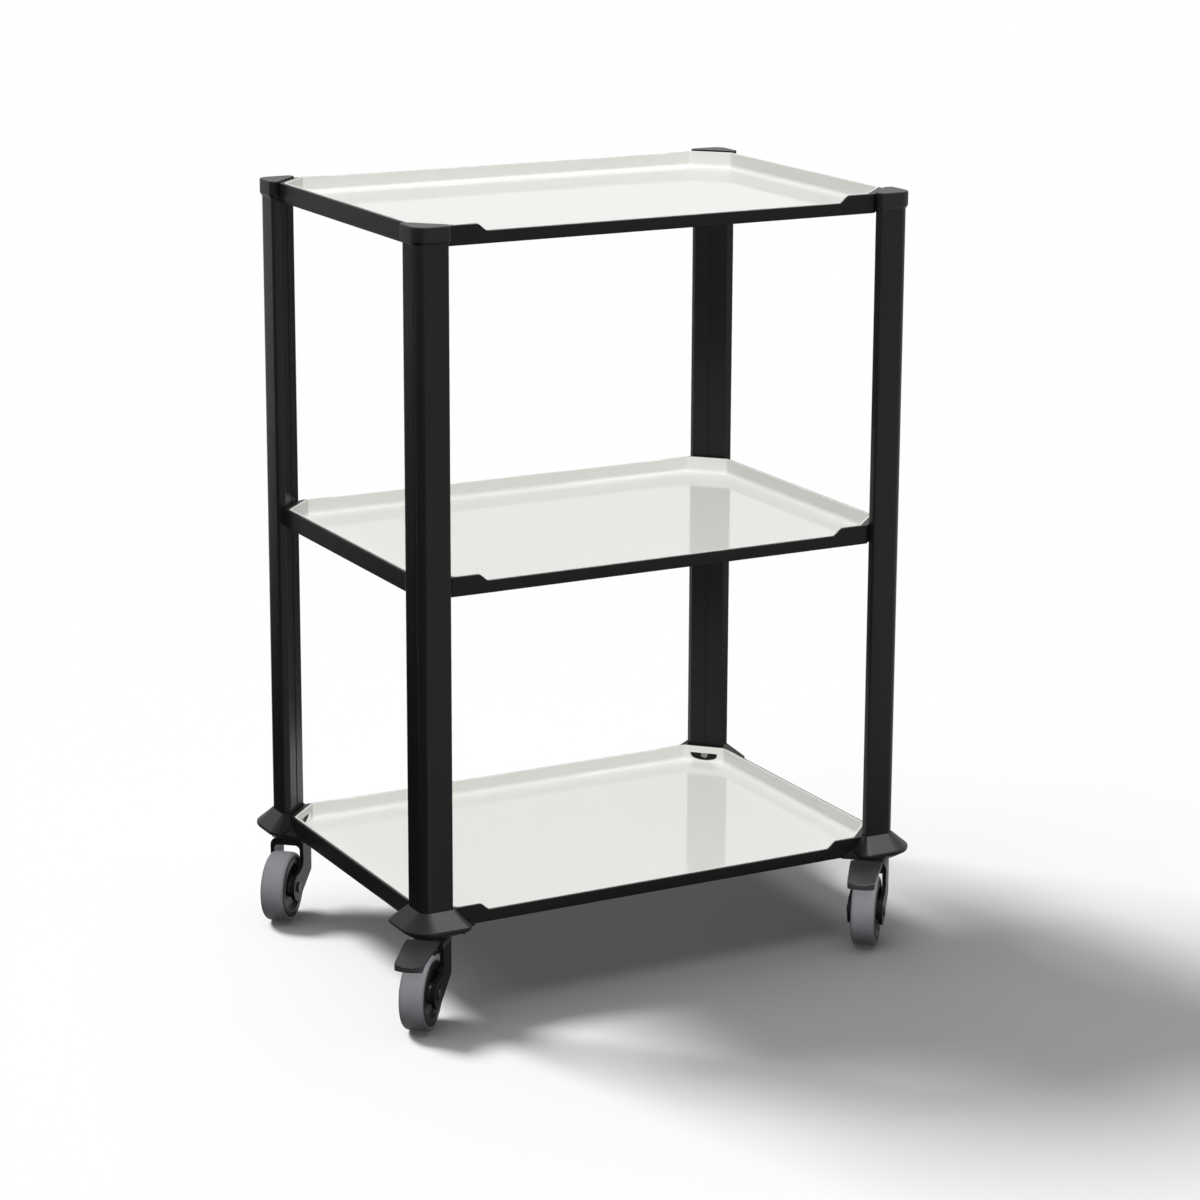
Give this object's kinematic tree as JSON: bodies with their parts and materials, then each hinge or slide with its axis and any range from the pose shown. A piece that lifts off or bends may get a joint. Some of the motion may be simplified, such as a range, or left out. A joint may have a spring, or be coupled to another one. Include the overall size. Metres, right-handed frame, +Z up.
{
  "type": "three-tier trolley",
  "caption": "Three-tier service trolley: black corner columns, white drop-in trays in black rims, flared foot bumpers and swivel castors, the front pair with brake pedals.",
  "frame": {"origin": "on the floor, under the middle of the whole footprint, castors included", "axes": "+Z up, +X to the right along the long side, front (the low side of the rims and the braked castors) towards -Y"},
  "size_m": [0.656, 0.4832, 0.8556],
  "materials": {
    "column": "black anodised, satin",
    "rim": "smooth black moulding",
    "fitting": "black moulding",
    "tray": "glossy white",
    "steel": "zinc plated",
    "axle": "blackened",
    "fork": "black moulding",
    "wheel_core": "black moulding",
    "tread": "grey, non-marking",
    "pedal": "dark grey moulding",
    "shoe": "black"
  },
  "bodies": {
    "trolley": {"shelf_frame_lower": "rim", "tray_lower": "tray", "shelf_frame_middle": "rim", "tray_middle": "tray", "shelf_frame_upper": "rim", "tray_upper": "tray", "column_front_left": "column", "column_cap_front_left": "fitting", "base_casting_front_left": "fitting", "shelf_screw_lower_front_left": "steel", "shelf_screw_middle_front_left": "steel", "shelf_screw_upper_front_left": "steel", "castor_stem_front_left": "steel", "column_front_right": "column", "column_cap_front_right": "fitting", "base_casting_front_right": "fitting", "shelf_screw_lower_front_right": "steel", "shelf_screw_middle_front_right": "steel", "shelf_screw_upper_front_right": "steel", "castor_stem_front_right": "steel", "column_rear_right": "column", "column_cap_rear_right": "fitting", "base_casting_rear_right": "fitting", "shelf_screw_lower_rear_right": "steel", "shelf_screw_middle_rear_right": "steel", "shelf_screw_upper_rear_right": "steel", "castor_stem_rear_right": "steel", "column_rear_left": "column", "column_cap_rear_left": "fitting", "base_casting_rear_left": "fitting", "shelf_screw_lower_rear_left": "steel", "shelf_screw_middle_rear_left": "steel", "shelf_screw_upper_rear_left": "steel", "castor_stem_rear_left": "steel"},
    "castor_front_left": {"castor_fork_front_left": "fork", "axle_front_left": "axle", "pedal_pin_front_left": "axle"},
    "wheel_front_left": {"wheel_core_front_left": "wheel_core", "tyre_front_left": "tread"},
    "pedal_front_left": {"brake_pedal_front_left": "pedal", "brake_shoe_front_left": "shoe"},
    "castor_front_right": {"castor_fork_front_right": "fork", "axle_front_right": "axle", "pedal_pin_front_right": "axle"},
    "wheel_front_right": {"wheel_core_front_right": "wheel_core", "tyre_front_right": "tread"},
    "pedal_front_right": {"brake_pedal_front_right": "pedal", "brake_shoe_front_right": "shoe"},
    "castor_rear_right": {"castor_fork_rear_right": "fork", "axle_rear_right": "axle"},
    "wheel_rear_right": {"wheel_core_rear_right": "wheel_core", "tyre_rear_right": "tread"},
    "castor_rear_left": {"castor_fork_rear_left": "fork", "axle_rear_left": "axle"},
    "wheel_rear_left": {"wheel_core_rear_left": "wheel_core", "tyre_rear_left": "tread"}
  },
  "joints": [
    {"name": "castor_front_left_swivel", "type": "hinge", "parent": "trolley", "child": "castor_front_left", "pos_m": [-0.26468, -0.17408, 0.087], "axis": [0, 0, 1], "continuous": true},
    {"name": "wheel_front_left_spin", "type": "hinge", "parent": "castor_front_left", "child": "wheel_front_left", "pos_m": [-0.29024, -0.20247, 0.04], "axis": [0.7431, -0.6691, 0], "continuous": true},
    {"name": "pedal_front_left_press", "type": "hinge", "parent": "castor_front_left", "child": "pedal_front_left", "pos_m": [-0.27404, -0.18449, 0.0778], "axis": [0.7431, -0.6691, 0], "range_deg": [0, 5]},
    {"name": "castor_front_right_swivel", "type": "hinge", "parent": "trolley", "child": "castor_front_right", "pos_m": [0.28962, -0.17408, 0.087], "axis": [0, 0, 1], "continuous": true},
    {"name": "wheel_front_right_spin", "type": "hinge", "parent": "castor_front_right", "child": "wheel_front_right", "pos_m": [0.26558, -0.20377, 0.04], "axis": [0.7771, -0.6293, 0], "continuous": true},
    {"name": "pedal_front_right_press", "type": "hinge", "parent": "castor_front_right", "child": "pedal_front_right", "pos_m": [0.28081, -0.18496, 0.0778], "axis": [0.7771, -0.6293, 0], "range_deg": [0, 5]},
    {"name": "castor_rear_right_swivel", "type": "hinge", "parent": "trolley", "child": "castor_rear_right", "pos_m": [0.28962, 0.20322, 0.087], "axis": [0, 0, 1], "continuous": true},
    {"name": "wheel_rear_right_spin", "type": "hinge", "parent": "castor_rear_right", "child": "wheel_rear_right", "pos_m": [0.26406, 0.17483, 0.04], "axis": [0.7431, -0.6691, 0], "continuous": true},
    {"name": "castor_rear_left_swivel", "type": "hinge", "parent": "trolley", "child": "castor_rear_left", "pos_m": [-0.26468, 0.20322, 0.087], "axis": [0, 0, 1], "continuous": true},
    {"name": "wheel_rear_left_spin", "type": "hinge", "parent": "castor_rear_left", "child": "wheel_rear_left", "pos_m": [-0.29024, 0.17483, 0.04], "axis": [0.7431, -0.6691, 0], "continuous": true}
  ]
}
